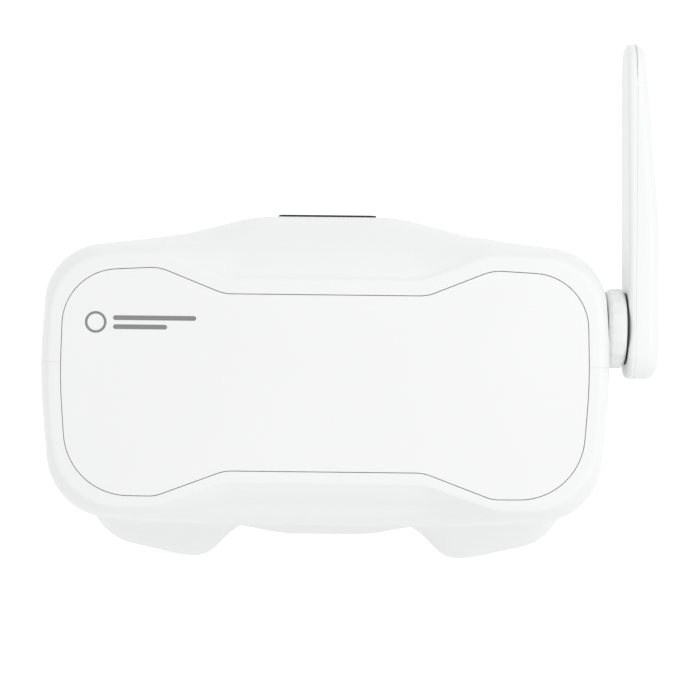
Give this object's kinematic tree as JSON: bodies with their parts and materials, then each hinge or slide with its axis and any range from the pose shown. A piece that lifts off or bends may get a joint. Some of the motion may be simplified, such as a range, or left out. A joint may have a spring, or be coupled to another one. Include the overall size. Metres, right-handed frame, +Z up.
{
  "type": "fpv goggles",
  "caption": "White box-type video goggles with a waisted front panel, face foam, one large lens, a top button strip and a folding paddle antenna.",
  "frame": {"origin": "middle of the front panel's flat outer face", "axes": "+Y from the front panel towards the wearer's face, +Z up, +X to the wearer's left, where the antenna is"},
  "size_m": [0.1763, 0.1023, 0.1543],
  "materials": {
    "white_plastic": "satin, finely textured",
    "panel_plastic": "satin, finely textured",
    "collar_plastic": "satin",
    "antenna_plastic": "satin",
    "face_foam": "brushed fabric over foam",
    "fastener_fabric": "looped pile",
    "foam_pad": "closed-cell foam",
    "black_plastic": "fine texture",
    "strip_black": "satin",
    "button_black": "silicone",
    "button_red": "silicone",
    "chip_black": "epoxy",
    "jack_black": "satin",
    "lens_glass": "polished acrylic",
    "light_clear": "clear acrylic",
    "display_glass": "polished",
    "screw_steel": "zinc plated",
    "sheet_metal": "tinned",
    "pivot_brass": "turned",
    "circuit_board": "solder mask",
    "antenna_board": "copper on laminate",
    "flex_cable": "polyimide film",
    "battery_foil": "laminated foil",
    "red_cable": "silicone insulation",
    "black_cable": "insulation",
    "black_rubber": "moulded"
  },
  "bodies": {
    "goggles": {"front_panel": "panel_plastic", "upper_housing": "white_plastic", "lower_housing": "white_plastic", "face_frame": "white_plastic", "foam_fastener": "fastener_fabric", "face_foam": "face_foam", "lens_plate": "black_plastic", "lens": "lens_glass", "lens_retainer": "black_plastic", "lens_screws": "screw_steel", "optic_shroud": "black_plastic", "display_bracket": "black_plastic", "display_panel": "display_glass", "backlight": "sheet_metal", "display_ribbon": "flex_cable", "main_board": "circuit_board", "receiver_module": "sheet_metal", "video_chips": "chip_black", "beeper": "chip_black", "board_screws": "screw_steel", "battery_pack": "battery_foil", "battery_tray": "black_plastic", "battery_pad": "foam_pad", "battery_plug": "white_plastic", "battery_lead": "red_cable", "button_board": "circuit_board", "button_switches": "sheet_metal", "button_ribbon": "flex_cable", "control_strip": "strip_black", "port_board": "circuit_board", "card_slot": "sheet_metal", "av_jack": "jack_black", "charge_port": "sheet_metal", "status_light": "light_clear", "frame_screws": "screw_steel", "seam_screws": "screw_steel", "strap_loop_left": "black_plastic", "strap_loop_right": "black_plastic", "strap_loop_top": "black_plastic", "antenna_bushing": "pivot_brass", "antenna_clip": "screw_steel", "coax_cable": "black_cable"},
    "antenna": {"antenna_collar": "collar_plastic", "antenna_washer": "black_rubber", "antenna_inner_shell": "antenna_plastic", "antenna_outer_shell": "antenna_plastic", "antenna_radiator": "antenna_board"},
    "card": {"memory_card": "chip_black"},
    "power_button_cap": {"power_button": "button_red"},
    "menu_button_cap": {"menu_button": "button_black"},
    "channel_up_button_cap": {"channel_up_button": "button_black"},
    "channel_down_button_cap": {"channel_down_button": "button_black"},
    "record_button_cap": {"record_button": "button_black"}
  },
  "joints": [
    {"name": "antenna_swivel", "type": "hinge", "parent": "goggles", "child": "antenna", "pos_m": [0.0857, 0.024, 0.0165], "axis": [1, 0, 0], "range_deg": [-90, 90]},
    {"name": "card_slide", "type": "slide", "parent": "goggles", "child": "card", "axis": [-1, 0, 0], "range_m": [0, 0.011]},
    {"name": "power_press", "type": "slide", "parent": "goggles", "child": "power_button_cap", "axis": [0, 0, -1], "range_m": [0, 0.0005], "stiffness_N_per_m": 400},
    {"name": "menu_press", "type": "slide", "parent": "goggles", "child": "menu_button_cap", "axis": [0, 0, -1], "range_m": [0, 0.0005], "stiffness_N_per_m": 400},
    {"name": "channel_up_press", "type": "slide", "parent": "goggles", "child": "channel_up_button_cap", "axis": [0, 0, -1], "range_m": [0, 0.0005], "stiffness_N_per_m": 400},
    {"name": "channel_down_press", "type": "slide", "parent": "goggles", "child": "channel_down_button_cap", "axis": [0, 0, -1], "range_m": [0, 0.0005], "stiffness_N_per_m": 400},
    {"name": "record_press", "type": "slide", "parent": "goggles", "child": "record_button_cap", "axis": [0, 0, -1], "range_m": [0, 0.0005], "stiffness_N_per_m": 400}
  ]
}
